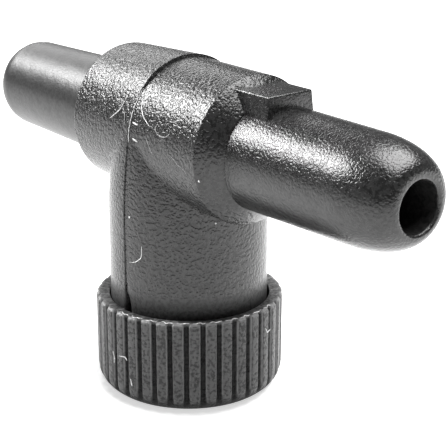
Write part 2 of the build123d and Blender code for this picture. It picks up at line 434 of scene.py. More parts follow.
print("right edge is rounded by", right_edge(AXIS_Z), "and by", round(right_edge(COLLAR_TOP), 2), "at the foot")

# %% [markdown]
# Both halves share the pocket for the brass socket's shank. The right half also
# has the deep hole that lets a key reach the clamp screw. Its mouth is flared by
# a small radius, because a sharp rim would look cut from paper.

# %% Cutters
POCKET_AF, POCKET_TOP = 8.12, 17.5
RING_POCKET_R, RING_POCKET_TOP = 6.3, 5.75
ACCESS_R, SEAT_X, SCREW_WAY_R = 2.85, 8.0, 1.65
INSERT_R, INSERT_END_X = 2.3, -6.2
PEG_PLACES = [(-5.6, AXIS_Z), (5.6, AXIS_Z), (-6.6, 21.0), (6.6, 21.0)]
PEG_R, PEG_LENGTH, PEG_HOLE_R, PEG_HOLE_DEPTH = 0.9, 2.0, 1.0, 2.4


def screw_way():
    """The stepped hole along the right arm, flared at its mouth."""
    flare = 0.4
    corners = [(-2.0, 0.0), (-2.0, SCREW_WAY_R), (SEAT_X, SCREW_WAY_R), (SEAT_X, ACCESS_R),
               (RIGHT_REACH - flare, ACCESS_R)]
    corners += [(RIGHT_REACH - flare + flare * math.sin(math.radians(a)),
                 ACCESS_R + flare * (1 - math.cos(math.radians(a)))) for a in range(15, 91, 15)]
    corners += [(RIGHT_REACH + 1.0, ACCESS_R + flare + 0.6), (RIGHT_REACH + 1.0, 0.0)]
    return turned("screw_way", plain(corners), around_hole, even_angles(96))


def insert_hole():
    corners = [(INSERT_END_X, 0.0), (INSERT_END_X, INSERT_R), (1.0, INSERT_R), (1.0, 0.0)]
    return turned("insert_hole", plain(corners), around_hole, even_angles(48))


def ring_pocket():
    corners = [(FOOT_Z - 1, 0.0), (FOOT_Z - 1, RING_POCKET_R), (RING_POCKET_TOP, RING_POCKET_R),
               (RING_POCKET_TOP, 0.0)]
    return turned("ring_pocket", plain(corners), around_stem, even_angles(96))


def peg(radius, x0, x1, y, z):
    def place(along, out, angle):
        return Vector((along, y - out * math.sin(angle), z + out * math.cos(angle)))
    tip = rounded([(x0, 0.0), (x0, radius), (x1, radius, min(radius * 0.4, 0.3)), (x1, 0.0)])
    return turned("peg", tip, place, even_angles(32))


print("the way to the screw is", 2 * ACCESS_R, "across, with", len(PEG_PLACES), "pegs beside it")

# %% [markdown]
# Each half is joined from its barrel, arm and stem, and trimmed at the joint by a
# large box. The edge is softened at this point, while the inside is still solid,
# so that only the outer skin moves. The pockets, the hole and the pegs come last.

# %% Join and cut each half
def half_box(side):
    """Everything on one side of the joint."""
    far = 60.0
    return block("half", (0.0 if side > 0 else -far, -far, 0.0), (far if side > 0 else 0.0, far, far))


def right_half():
    piece = barrel("right_half", 1, BARREL_R, RIGHT_ROOT_R)
    combine(piece, arm("arm", 1, RIGHT_ROOT_R, bullet_nose()), "UNION")
    combine(piece, stem("stem", 0.0), "UNION")
    lug_low, lug_high = (BARREL_END_X - 1.0, -LUG_HALF, AXIS_Z), (LUG_END, LUG_HALF, AXIS_Z + LUG_HEIGHT)
    combine(piece, block("lug", lug_low, lug_high, LUG_ROUND, draft=LUG_DRAFT), "UNION")
    combine(piece, half_box(1), "INTERSECT")
    soften_joint(piece, 1, right_edge)
    combine(piece, screw_way(), "DIFFERENCE")
    combine(piece, ring_pocket(), "DIFFERENCE")
    combine(piece, prism("pocket", 6, POCKET_AF, FOOT_Z - 1, POCKET_TOP), "DIFFERENCE")
    for y, z in PEG_PLACES:
        combine(piece, peg(PEG_HOLE_R, -1.0, PEG_HOLE_DEPTH, y, z), "DIFFERENCE")
    return piece


def left_half():
    piece = barrel("left_half", -1, BARREL_R + LEFT_PROUD, LEFT_ROOT_R)
    combine(piece, arm("arm", -1, LEFT_ROOT_R, round_end()), "UNION")
    combine(piece, stem("stem", LEFT_STEM_PROUD), "UNION")
    combine(piece, half_box(-1), "INTERSECT")
    soften_joint(piece, -1, left_edge)
    combine(piece, insert_hole(), "DIFFERENCE")
    combine(piece, ring_pocket(), "DIFFERENCE")
    combine(piece, prism("pocket", 6, POCKET_AF, FOOT_Z - 1, POCKET_TOP), "DIFFERENCE")
    for y, z in PEG_PLACES:
        combine(piece, peg(PEG_R, -1.0, PEG_LENGTH, y, z), "UNION")
    return piece


right = smooth(right_half())
left = smooth(left_half())
print("right half", len(right.data.polygons), "faces; left half", len(left.data.polygons), "faces")

# %% [markdown]
# ## Traces of the mould
# Old moulds leave traces: thin strands of flash, a ring where a pin pushed the
# part out, and a few nicks. A bump map could only dent the skin, so they are laid
# along it as fine strands that sink halfway in, in a paler tone, because thin
# plastic turns milky.

# %% A strand
STRAND_SIDES, STRAND_STEPS = 6, 6       # faces round a strand, steps between two of its points


def strand(name, points, thickness, closed=False):
    """A thin tapering thread of plastic through the points, in millimetres."""
    path = []
    for a, b in zip(points, points[1:]):
        path += [a.lerp(b, k / STRAND_STEPS) for k in range(STRAND_STEPS)]
    if not closed:
        path.append(points[-1])
    for _ in range(2 if len(points) > 2 else 0):        # two rounds of averaging soften the bends
        inner = [(path[i - 1] + path[i] * 2 + path[(i + 1) % len(path)]) / 4 for i in range(len(path))]
        path = inner if closed else [path[0]] + inner[1:-1] + [path[-1]]
    mesh = bpy.data.meshes.new(name)
    bm = bmesh.new()
    rings = []
    for i, here in enumerate(path):
        ahead = path[(i + 1) % len(path)] if closed or i + 1 < len(path) else here * 2 - path[i - 1]
        behind = path[i - 1] if closed or i else here * 2 - path[1]
        run = (ahead - behind).normalized()
        side = run.orthogonal().normalized()
        if rings:
            side = (before - run * before.dot(run)).normalized()
        before = side
        up = run.cross(side)
        taper = 1.0 if closed else 0.35 + 0.65 * math.sin(math.pi * i / (len(path) - 1)) ** 0.5
        r = thickness * taper
        rings.append([bm.verts.new((here + side * r * math.cos(a) + up * r * math.sin(a)) * MM)
                      for a in even_angles(STRAND_SIDES)])
    pairs = list(zip(rings, rings[1:] + rings[:1])) if closed else list(zip(rings, rings[1:]))
    for one, two in pairs:
        for k in range(STRAND_SIDES):
            after = (k + 1) % STRAND_SIDES
            bm.faces.new([one[k], one[after], two[after], two[k]])
    if not closed:
        bm.faces.new(rings[0])
        bm.faces.new(rings[-1])
    bmesh.ops.recalc_face_normals(bm, faces=bm.faces)
    bm.to_mesh(mesh)
    bm.free()
    return mesh


print("a strand has", STRAND_SIDES, "sides")


# %% Lay strands on a piece
def lay(piece, meshes):
    """Add the strands to a piece; their faces use the piece's second skin."""
    bm = bmesh.new()
    bm.from_mesh(piece.data)
    for mesh in meshes:
        count = len(bm.faces)
        bm.from_mesh(mesh)
        bm.faces.ensure_lookup_table()
        for face in bm.faces[count:]:
            face.material_index = 1
            face.smooth = True
        bpy.data.meshes.remove(mesh)
    bm.to_mesh(piece.data)
    bm.free()
    print(piece.name, "has", len(meshes), "strands,", len(piece.data.polygons), "faces in all")


def on_barrel(x, degrees, radius):
    return around_handle(x, radius, math.radians(degrees))


def on_stem(z, degrees, radius):
    a = math.radians(degrees)
    return Vector((radius * math.sin(a), -radius * math.cos(a), z))


def flash(runs, place, radius):
    """A strand for each run of (points, thickness); a point is a place along and degrees round."""
    return [strand("flash", [place(along, degrees, radius) for along, degrees in points], thickness)
            for points, thickness in runs]


# %% Marks on the halves
SKIN_LIFT = 0.01        # a strand's middle stands this far off the skin
right_runs = [
    ([(0.8, 54.5), (1.3, 62), (2.1, 68), (3.8, 74)], 0.06),
    ([(0.5, 74.5), (1.5, 75.5)], 0.1),
    ([(0.8, 86.5), (1.8, 88.0)], 0.09),
    ([(7.75, 89.5), (8.6, 91.0), (9.3, 94.5), (10.3, 96.5), (11.0, 100.5)], 0.008),
    ([(3.2, 82.0), (4.6, 93.0)], 0.015),
    ([(13.0, 101.0), (13.1, 102.5)], 0.08)]
stem_runs = [
    ([(18.15, 5), (18.4, 11), (19.15, 16.5), (20.7, 17)], 0.05),
    ([(23.8, 5.5), (24.0, 6.5)], 0.11),
    ([(23.9, 70), (24.0, 71.2)], 0.13)]
left_runs = [
    ([(-3.95, 77), (-2.3, 68), (-1.95, 56.5)], 0.05),
    ([(-3.0, 60), (-1.2, 71), (-0.9, 80)], 0.02)]


def seam_flash():
    """A thread that wanders along the joint, down the front of the barrel."""
    wander = [on_barrel(0.05 + 0.05 * math.sin(d), d, BARREL_R + 0.05) for d in range(47, 104, 3)]
    return strand("seam_flash", wander, 0.045)


def ejector_ring(x=6.2, degrees=73, half_width=1.35, half_height=0.8):
    """Two thirds of an oval, where a worn pin touched the skin."""
    turns = [math.radians(d) for d in range(-30, 215, 15)]
    return strand("ejector_ring", [
        on_barrel(x + half_width * math.cos(a), degrees + math.degrees(half_height * math.sin(a) / BARREL_R),
                  BARREL_R + SKIN_LIFT) for a in turns], 0.025)


lay(right, flash(right_runs, on_barrel, BARREL_R + SKIN_LIFT) + [seam_flash(), ejector_ring()]
    + flash(stem_runs, on_stem, STEM_R + SKIN_LIFT))
lay(left, flash(left_runs, on_barrel, BARREL_R + 0.3 * LEFT_PROUD))
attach(right, "handle")
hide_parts("right_shell")
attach(left, "handle")
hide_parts("left_shell")

# %% [markdown]
# ## The ridged collar
# The collar is a cup with a lip at the bottom. Its outside has 36 ridges with
# flat tops and rounded flanks, which run out where the foot rounds under. The
# radius is bent as a function of the angle, and the columns crowd at the ridge
# flanks. Cutting 36 grooves would give the same shape with a less even mesh.

# %% Ridges and grooves
RIDGES, RIDGE_DEPTH = 36, 0.55
LIP_HOLE_R, LIP_TOP, CHAMBER_R, CHAMBER_TOP, COUNTERBORE_R = 5.3, 2.2, 8.7, 9.7, 10.08
FOOT_ROUND, TOP_BEVEL, DISH_DEPTH = 2.7, 0.3, 0.15
# each pair is a place across one ridge pitch, and how full the ridge is there
RIDGE_SHAPE = [(0.0, 0.0), (0.05, 0.03), (0.09, 0.12), (0.13, 0.28), (0.17, 0.5), (0.205, 0.72), (0.235, 0.87),
               (0.265, 0.95), (0.31, 0.985), (0.4, 1.0), (0.5, 1.0), (0.6, 1.0), (0.69, 0.985), (0.735, 0.95),
               (0.765, 0.87), (0.795, 0.72), (0.83, 0.5), (0.87, 0.28), (0.91, 0.12), (0.95, 0.03)]


def collar_angles():
    pitch = 2 * math.pi / RIDGES
    return [(k + place) * pitch for k in range(RIDGES) for place, _ in RIDGE_SHAPE]


def ridge_fullness(angle):
    pitch = 2 * math.pi / RIDGES
    place = (angle / pitch) % 1.0
    for (a, fa), (b, fb) in zip(RIDGE_SHAPE, RIDGE_SHAPE[1:] + [(1.0, 0.0)]):
        if a - 1e-6 <= place <= b + 1e-6:
            return fa + (fb - fa) * (place - a) / (b - a)
    return 0.0


print(RIDGES, "ridges,", round(2 * math.pi * COLLAR_R / RIDGES, 2), "mm apart")


# %% Turn the collar
def collar_outline():
    """A closed ring of corners: outside, top, counterbore, chamber and lip."""
    whole = rounded([
        (0.0, LIP_HOLE_R, 0.3), (0.0, COLLAR_R, FOOT_ROUND), (COLLAR_TOP - TOP_BEVEL, COLLAR_R, 0.12),
        (COLLAR_TOP, COLLAR_R - TOP_BEVEL, 0.1), (COLLAR_TOP - DISH_DEPTH, COUNTERBORE_R, 0.12),
        (CHAMBER_TOP, COUNTERBORE_R, 0.15), (CHAMBER_TOP, CHAMBER_R, 0.1), (LIP_TOP, CHAMBER_R, 0.2),
        (LIP_TOP, LIP_HOLE_R, 0.15)], steps=8)
    rows = []
    for a, b in zip(whole, whole[1:] + whole[:1]):
        on_thread = abs(a.y - CHAMBER_R) < 0.02 and abs(b.y - CHAMBER_R) < 0.02
        on_side = abs(a.y - COLLAR_R) < 0.02 and abs(b.y - COLLAR_R) < 0.02
        pitch = THREAD_ROW if on_thread else 0.8 if on_side else 5.0
        rows += filled_in([a, b], pitch)[:-1]
    return rows


def collar_bend(z, r, angle):
    root = COLLAR_R - RIDGE_DEPTH
    if r > root:
        return root + (r - root) * ridge_fullness(angle)
    return inner_thread(z, r, angle)


inner_thread = thread_bend(CHAMBER_R, -0.45, LIP_TOP + 1.6, CHAMBER_TOP - 0.3, phase=0.5)
collar = smooth(turned("ridged_collar", collar_outline(), around_stem, collar_angles(), ring=True,
                       bend=collar_bend), 50)
print("collar", len(collar.data.polygons), "faces")


# %% Marks on the collar
def crest_flash(start):
    """A ragged thread over one stretch of the collar's crest."""
    crest_r = COLLAR_R - TOP_BEVEL - 0.1
    return strand("crest_flash", [
        on_stem(COLLAR_TOP + 0.03 + 0.05 * math.sin(2.3 * d), d, crest_r + 0.16 * math.sin(1.7 * d))
        for d in range(start, start + 10, 2)], 0.055)


collar_runs = [
    ([(6.6, -1.5), (5.9, 0.2), (5.1, -0.5)], 0.07),
    ([(6.4, 4.5), (6.6, 10.0), (6.2, 11.5)], 0.06),
    ([(9.6, 104.0), (8.9, 106.0), (9.1, 109.5)], 0.07),
    ([(3.9, 14.0), (3.0, 15.0)], 0.08)]
lay(collar, [crest_flash(start) for start in range(4, 110, 10)]
    + flash(collar_runs, on_stem, COLLAR_R + SKIN_LIFT))
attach(collar, "collar")
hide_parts("knurled_collar")

# %% [markdown]
# ## The brass socket and what sits on it
# The socket is turned from hexagonal bar: the shank keeps the bar's flats, the
# neck, flange and nose are turned, and the square is broached from below. The
# script follows the same order, with a lathe shape, a bar and a square cutter.

# %% Turn and broach the socket
SOCKET_LOW, SOCKET_TOP = round(socket_low.z, 2), round(socket_high.z, 2)
FLANGE_R, FLANGE_LOW, FLANGE_HIGH = 6.9, 2.8, 4.2
NOSE_R, NECK_R, NECK_TOP = 5.0, 4.62, 5.7
SQUARE_AF, SQUARE_TOP = 5.1, 9.3
SHANK_AF = 8.0


def brass_socket():
    outline = rounded([(SOCKET_LOW, 0.0), (SOCKET_LOW, NOSE_R, 0.3), (FLANGE_LOW, NOSE_R, 0.1),
                       (FLANGE_LOW, FLANGE_R, 0.15), (FLANGE_HIGH, FLANGE_R, 0.15), (FLANGE_HIGH, NECK_R, 0.1),
                       (SOCKET_TOP, NECK_R, 0.8), (SOCKET_TOP, 0.0)])
    piece = turned("brass_socket", outline, around_stem, even_angles(120))
    bar = prism("bar", 6, SHANK_AF, NECK_TOP, SOCKET_TOP + 1.0)
    lower = turned("lower", plain([(-1.0, 0.0), (-1.0, 9.0), (NECK_TOP, 9.0), (NECK_TOP, 0.0)]),
                   around_stem, even_angles(60))
    combine(bar, lower, "UNION")
    combine(piece, bar, "INTERSECT")
    combine(piece, prism("square", 4, SQUARE_AF, SOCKET_LOW - 1.0, SQUARE_TOP, math.pi / 4), "DIFFERENCE")
    below, above = SOCKET_LOW - 0.5, SOCKET_LOW + 0.5
    cone = plain([(below, 0.0), (below, 4.55), (above, 3.35), (above, 0.0)])
    lead_in = turned("lead_in", cone, around_stem, even_angles(96))
    combine(piece, lead_in, "DIFFERENCE")
    return piece


brass = smooth(brass_socket(), 30)
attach(brass, "socket")
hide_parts("key_socket")
print("socket", len(brass.data.polygons), "faces, square", SQUARE_AF, "across the flats")

# %% [markdown]
# The thrust washer lets the collar turn without dragging the socket round, and
# the rubber ring keeps water out of the handle. Both are plain rings, so their
# quality is in their edge radii and their skins.

# %% Washer and sealing ring
THRUST_LOW, THRUST_HIGH, THRUST_HOLE_R, THRUST_R = 2.25, 2.8, 5.1, 7.8
thrust_outline = rounded([(THRUST_LOW, THRUST_HOLE_R, 0.08), (THRUST_LOW, THRUST_R, 0.12),
                          (THRUST_HIGH, THRUST_R, 0.12), (THRUST_HIGH, THRUST_HOLE_R, 0.08)])
thrust = smooth(turned("nylon_washer", thrust_outline, around_stem, even_angles(120), ring=True))
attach(thrust, "socket")
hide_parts("thrust_washer")

RING_SECTION, RING_MIDDLE_R, RING_Z = 0.75, 5.39, 4.95
ring_outline = [Vector((RING_Z + RING_SECTION * math.sin(a), RING_MIDDLE_R + RING_SECTION * math.cos(a)))
                for a in even_angles(28)]
seal = smooth(turned("rubber_ring", ring_outline, around_stem, even_angles(120), ring=True), 60)
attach(seal, "socket")
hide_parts("o_ring")
print("thrust washer", 2 * THRUST_R, "across, sealing ring", 2 * RING_SECTION, "thick")

# %% [markdown]
# ## The clamp screw, its washer and its insert
# A stock socket cap screw pulls the halves together. Its head sits deep in the
# arm, so what shows is a dark hole with a faint glint of steel at the bottom.

# %% Screw
HEAD_X0, HEAD_X1, HEAD_R, SCREW_R, SCREW_END_X = 9.0, 12.0, 2.75, 1.5, -5.0
SCREW_PITCH, SCREW_THREAD_DEPTH, SCREW_THREAD_END_X = 0.5, 0.26, 3.0
HEX_KEY_AF, HEX_KEY_DEPTH = 2.5, 1.5


def screw_thread(x, r, angle):
    """Radius of the screw, with a thread on the far end of its shaft."""
    if abs(r - SCREW_R) > 0.01 or x > SCREW_THREAD_END_X:
        return r
    turn = (x / SCREW_PITCH + angle / (2 * math.pi)) % 1.0
    return r - SCREW_THREAD_DEPTH * abs(turn - 0.5) * 2


def cap_screw():
    outline = rounded([(SCREW_END_X, 0.0), (SCREW_END_X, SCREW_R, 0.3), (HEAD_X0, SCREW_R, 0.1),
                       (HEAD_X0, HEAD_R, 0.15), (HEAD_X1, HEAD_R, 0.3), (HEAD_X1, 0.0)])
    rows = []
    for a, b in zip(outline, outline[1:]):
        shaft = abs(a.y - SCREW_R) < 0.01 and abs(b.y - SCREW_R) < 0.01
        rows += filled_in([a, b], 0.08 if shaft else 3.0)[:-1]
    rows.append(outline[-1])
    piece = turned("cap_screw", rows, around_hole, even_angles(72), bend=screw_thread)
    corner, floor_x, past_x = HEX_KEY_AF / 2 / math.cos(math.pi / 6), HEAD_X1 - HEX_KEY_DEPTH, HEAD_X1 + 1.0
    key = turned("key", plain([(floor_x, 0.0), (floor_x, corner), (past_x, corner), (past_x, 0.0)]),
                 around_hole, even_angles(6))
    return combine(piece, key, "DIFFERENCE")


screw = smooth(cap_screw(), 30)
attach(screw, "handle")
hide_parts("clamp_screw")
print("screw", HEAD_X1 - SCREW_END_X, "long over its head,", len(screw.data.polygons), "faces")

# %% [markdown]
# The split washer is a ring with one slanted cut. The insert is brass with a
# straight knurl that bites the plastic and two grooves that keep it from pulling
# out. The knurl is a bent radius again, as on the collar.

# %% Split washer
WASHER_HOLE_R, WASHER_R, SLIT_HALF, SLIT_SLANT = 1.6, 2.8, 0.18, 0.35


def split_washer():
    outline = rounded([(SEAT_X, WASHER_HOLE_R, 0.06), (SEAT_X, WASHER_R, 0.1), (HEAD_X0, WASHER_R, 0.1),
                       (HEAD_X0, WASHER_HOLE_R, 0.06)])
    piece = turned("split_washer", outline, around_hole, even_angles(96), ring=True)
    cut = block("cut", (-2.0, -SLIT_HALF, 0.0), (2.0, SLIT_HALF, 4.0))
    middle = Vector(((SEAT_X + HEAD_X0) / 2, 0, HOLE_Z)) * MM
    cut.data.transform(Matrix.Translation(middle) @ Matrix.Rotation(SLIT_SLANT, 4, "Z"))
    return combine(piece, cut, "DIFFERENCE")


washer = smooth(split_washer(), 30)
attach(washer, "handle")
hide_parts("screw_washer")
print("split washer", 2 * WASHER_R, "across,", len(washer.data.polygons), "faces")

# %% Threaded insert
INSERT_BORE_R, INSERT_OUT_X, INSERT_GROOVE = 1.53, -0.5, 0.3
KNURL_TEETH, KNURL_DEPTH = 24, 0.12
GROOVES = [(1.75, 2.35), (3.58, 4.18)]       # from the insert's blind end


def insert_knurl(x, r, angle):
    """The radius dips between the teeth, but not in the grooves and the bore."""
    return r - KNURL_DEPTH * (0.5 + 0.5 * math.cos(KNURL_TEETH * angle)) if r > INSERT_R - 0.1 else r


def brass_insert():
    start, r, deep = INSERT_END_X, INSERT_R, INSERT_R - INSERT_GROOVE
    corners = [(start, INSERT_BORE_R, 0.1), (start, r, 0.15)]
    for first, last in GROOVES:
        corners += [(start + first, r, 0.05), (start + first, deep),
                    (start + last, deep), (start + last, r, 0.05)]
    corners += [(INSERT_OUT_X, r, 0.1), (INSERT_OUT_X, INSERT_BORE_R, 0.2)]
    return turned("threaded_brass_insert", rounded(corners), around_hole, even_angles(192), ring=True,
                  bend=insert_knurl)


insert = smooth(brass_insert(), 40)
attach(insert, "handle")
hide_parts("threaded_insert")
print("insert", INSERT_OUT_X - INSERT_END_X, "long,", len(insert.data.polygons), "faces")

# %% [markdown]
# ## Camera, floor and light
# The key stands on a white table under soft light, seen from in front of its
# right arm and a little above. The lens is long, so the arms keep their size.

# %% Camera
CAMERA_AZIMUTH, CAMERA_ELEVATION, CAMERA_DISTANCE = 50.94, 19.02, 154.93     # degrees, mm
LENS, SENSOR, SHIFT = 102.58, 36.0, 0.0197
LOOK_AT = Vector((5.15, 0.0, AXIS_Z - 10.8))


def viewing_direction(azimuth, elevation):
    """From the key towards the camera."""
    a, e = math.radians(azimuth), math.radians(elevation)
    return Vector((math.sin(a) * math.cos(e), -math.cos(a) * math.cos(e), math.sin(e)))


camera_data = bpy.data.cameras.new("camera")
camera_data.lens, camera_data.sensor_width, camera_data.shift_x = LENS, SENSOR, SHIFT
camera_data.clip_start = 0.01
camera = bpy.data.objects.new("camera", camera_data)
away = viewing_direction(CAMERA_AZIMUTH, CAMERA_ELEVATION)
camera.location = (LOOK_AT + away * CAMERA_DISTANCE) * MM
camera.rotation_euler = away.to_track_quat("Z", "Y").to_euler()
bpy.context.scene.collection.objects.link(camera)
bpy.context.scene.camera = camera
bpy.context.scene.view_settings.view_transform = "Standard"
print("camera", [round(c, 4) for c in camera.location])

# %% Floor
bm = bmesh.new()
bmesh.ops.create_grid(bm, x_segments=4, y_segments=4, size=3.0)
floor = as_piece("floor", bm)
paper = bpy.data.materials.new("white_table")
paper.use_nodes = True
paper_inputs = paper.node_tree.nodes["Principled BSDF"].inputs
paper_inputs["Base Color"].default_value = (0.93, 0.93, 0.93, 1)
paper_inputs["Roughness"].default_value = 0.9
paper_inputs["Emission Color"].default_value = (1, 1, 1, 1)
paper_inputs["Emission Strength"].default_value = 0.6
floor.data.materials.append(paper)
print("floor", floor.dimensions.x, "m across")

# %% [markdown]
# Three windows on the left draw the bright bands on the arms, and a large sheet
# overhead lights the tops. The windows light the key only, through a light
# linking collection, or else their shadows would fall across the white table.

# %% Lights
def softbox(name, place, aim, size, brightness):
    """A rectangular soft light with a given surface brightness."""
    data = bpy.data.lights.new(name, "AREA")
    data.shape = "RECTANGLE"
    data.size, data.size_y = size
    data.energy = math.pi * size[0] * size[1] * brightness
    lamp = bpy.data.objects.new(name, data)
    lamp.location = Vector(place)
    lamp.rotation_euler = (-Vector(aim)).to_track_quat("Z", "Y").to_euler()
    bpy.context.scene.collection.objects.link(lamp)
    return lamp


side_window = softbox("side_window", (-0.42, -0.275, 0.39), (0.84, 0.55, 0.0), (0.34, 0.23), 27.0)
mid_window = softbox("mid_window", (-0.52, -0.07, 0.36), (0.99, 0.13, 0.0), (0.13, 0.2), 6.0)
back_window = softbox("back_window", (-0.51, 0.17, 0.28), (0.95, -0.31, 0.0), (0.38, 0.17), 3.6)
softbox("top_sheet", (0.06, 0.16, 0.5), (0.0, 0.0, -1.0), (0.4, 0.5), 11.0)
key_pieces = bpy.data.collections.new("key_pieces")
for piece in (right, left, collar, brass, thrust, seal, screw, washer, insert):
    key_pieces.objects.link(piece)
for lamp in (side_window, mid_window, back_window):
    lamp.light_linking.receiver_collection = key_pieces

world = bpy.data.worlds.new("dim_room")
bpy.context.scene.world = world
world.use_nodes = True
world.node_tree.nodes["Background"].inputs["Color"].default_value = (1.0, 1.0, 1.0, 1)
world.node_tree.nodes["Background"].inputs["Strength"].default_value = 0.2

# %% [markdown]
# ## Skins
# Black moulded plastic is hardly ever plain: the mould is spark-eroded, which
# leaves fine pits, and the arms are polished more than the barrel. One group
# makes that grain for every plastic piece, each with its own size and depth.
# First come a few helpers, so that a node takes one line and not five.

# %% Helpers for nodes
def feed(tree, socket, value):
    """Give a socket a constant, or link another socket to it."""
    if isinstance(value, bpy.types.NodeSocket):
        tree.links.new(value, socket)
    else:
        socket.default_value = value


def math_node(tree, how, a, b=None, clamp=False):
    """A Math node; a and b are numbers or sockets."""
    node = tree.nodes.new("ShaderNodeMath")
    node.operation = how
    node.use_clamp = clamp
    feed(tree, node.inputs[0], a)
    if b is not None:
        feed(tree, node.inputs[1], b)
    return node.outputs[0]


def spread_out(tree, value, low, high, to_low=0.0, to_high=1.0, soft=False):
    """A value between low and high, spread over another span and held at its ends."""
    node = tree.nodes.new("ShaderNodeMapRange")
    if soft:
        node.interpolation_type = "SMOOTHSTEP"
    for label, amount in (("Value", value), ("From Min", low), ("From Max", high),
                          ("To Min", to_low), ("To Max", to_high)):
        feed(tree, node.inputs[label], amount)
    return node.outputs["Result"]


def between(tree, factor, a, b, colours=False):
    """A Mix node that goes from a to b."""
    node = tree.nodes.new("ShaderNodeMix")
    if colours:
        node.data_type = "RGBA"
    for label, value in (("Factor", factor), ("A", a), ("B", b)):
        feed(tree, node.inputs[label], value)
    return node.outputs["Result"]


def noise_node(tree, vector, scale, detail=2.0, roughness=0.5):
    node = tree.nodes.new("ShaderNodeTexNoise")
    for label, value in (("Vector", vector), ("Scale", scale), ("Detail", detail), ("Roughness", roughness)):
        feed(tree, node.inputs[label], value)
    return node.outputs["Fac"]


def distance_out(tree, *parts):
    """Length of the line whose parts along the axes are given."""
    squares = [math_node(tree, "MULTIPLY", part, part) for part in parts]
    return math_node(tree, "SQRT", math_node(tree, "ADD", *squares))


print("one call each for Math, Map Range, Mix and Noise nodes")


# %% A group for spark-eroded grain
def new_group(name, inputs, outputs):
    """An empty node group with named sockets: (name, socket type, default)."""
    group = bpy.data.node_groups.new(name, "ShaderNodeTree")
    for label, kind, default in inputs:
        socket = group.interface.new_socket(name=label, in_out="INPUT", socket_type=kind)
        if default is not None:
            socket.default_value = default
    for label, kind in outputs:
        group.interface.new_socket(name=label, in_out="OUTPUT", socket_type=kind)
    return group, group.nodes.new("NodeGroupInput").outputs, group.nodes.new("NodeGroupOutput").inputs


FINER, SLOWER = 2.7, 0.16           # sizes of the second and third noise, against the first
PLATEAU_LOW, PLATEAU_HIGH = 0.34, 0.6
grain, grain_in, grain_out = new_group(
    "spark_grain",
    [("Vector", "NodeSocketVector", None), ("Pits per metre", "NodeSocketFloat", 2600.0),
     ("Depth", "NodeSocketFloat", 1.0), ("Waviness", "NodeSocketFloat", 0.3)],
    [("Height", "NodeSocketFloat"), ("Pits", "NodeSocketFloat")])
where, density = grain_in["Vector"], grain_in["Pits per metre"]
coarse = noise_node(grain, where, density, 1.5)
fine = noise_node(grain, where, math_node(grain, "MULTIPLY", density, FINER))
slow = noise_node(grain, where, math_node(grain, "MULTIPLY", density, SLOWER), 1.0)
plateau = spread_out(grain, coarse, PLATEAU_LOW, PLATEAU_HIGH, soft=True)
pits = math_node(grain, "ADD", math_node(grain, "MULTIPLY", plateau, 0.3),
                 math_node(grain, "MULTIPLY", fine, 0.2))
deep = math_node(grain, "MULTIPLY", pits, grain_in["Depth"])
waves = math_node(grain, "MULTIPLY", slow, grain_in["Waviness"])
grain.links.new(math_node(grain, "ADD", deep, waves), grain_out["Height"])
grain.links.new(pits, grain_out["Pits"])
print("group", grain.name, "has", len(grain.nodes), "nodes")

# %% [markdown]
# Edges of moulded plastic are rubbed bright with use, and this mask also lays a
# painted highlight on them. Pointiness tells how far a point bulges, so a narrow
# band of it gives a mask for the edges.

# %% A group that lights up edges
edges, edges_in, edges_out = new_group(
    "edge_wear_and_highlight", [("Amount", "NodeSocketFloat", 0.5)], [("Edge", "NodeSocketFloat")])
# the edge mask lightens colour: partly edge wear, partly painted highlight
bulge = edges.nodes.new("ShaderNodeNewGeometry").outputs["Pointiness"]
edges.links.new(math_node(edges, "MULTIPLY", spread_out(edges, bulge, 0.52, 0.62), edges_in["Amount"]),
                edges_out["Edge"])
print("group", edges.name, "has", len(edges.nodes), "nodes")


# %% Common steps for a material
def material(name, roughness, metallic=0.0):
    made = bpy.data.materials.new(name)
    made.use_nodes = True
    shader = made.node_tree.nodes["Principled BSDF"]
    shader.inputs["Roughness"].default_value = roughness
    shader.inputs["Metallic"].default_value = metallic
    place = made.node_tree.nodes.new("ShaderNodeTexCoord").outputs["Object"]
    print("material", name)
    return made, made.node_tree, shader, place


def apart(tree, place):
    """The X, Y and Z of a place."""
    node = tree.nodes.new("ShaderNodeSeparateXYZ")
    tree.links.new(place, node.inputs["Vector"])
    return node.outputs


def place_group(tree, group, **values):
    """A group in a material; an input's name has _ for each space."""
    node = tree.nodes.new("ShaderNodeGroup")
    node.node_tree = group
    for label, value in values.items():
        feed(tree, node.inputs[label.replace("_", " ")], value)
    return node.outputs


def bump(tree, shader, height, distance, strength=1.0):
    node = tree.nodes.new("ShaderNodeBump")
    for label, value in (("Strength", strength), ("Distance", distance), ("Height", height)):
        feed(tree, node.inputs[label], value)
    tree.links.new(node.outputs["Normal"], shader.inputs["Normal"])


def ramp(tree, factor, dark, light, low=0.35, high=0.65):
    """Colour between two tones, driven by a factor."""
    node = tree.nodes.new("ShaderNodeValToRGB")
    for element, position, tone in zip(node.color_ramp.elements, (low, high), (dark, light)):
        element.position = position
        element.color = tone
    tree.links.new(factor, node.inputs["Fac"])
    return node.outputs["Color"]


def grey(value):
    return (value, value, value, 1.0)


def skin(piece, *skins):
    """Give a piece its skins; which face has which skin stays as it was."""
    which = [face.material_index for face in piece.data.polygons]
    piece.data.materials.clear()
    for made in skins:
        piece.data.materials.append(made)
    piece.data.polygons.foreach_set("material_index", which)


# %% [markdown]
# The halves carry two finishes. Barrel and stem have the coarse pitted skin, and
# beyond the shoulders the arms are finer and glossier. Both come from one
# material, blended by how far along the handle a point lies. The bore and the
# stem's foot are duller, since a mould's deep cores and rims are not polished.

# %% Plastic of the halves
PIT_LOW, PIT_HIGH = 0.1, 0.4        # the Pits output is about this wide


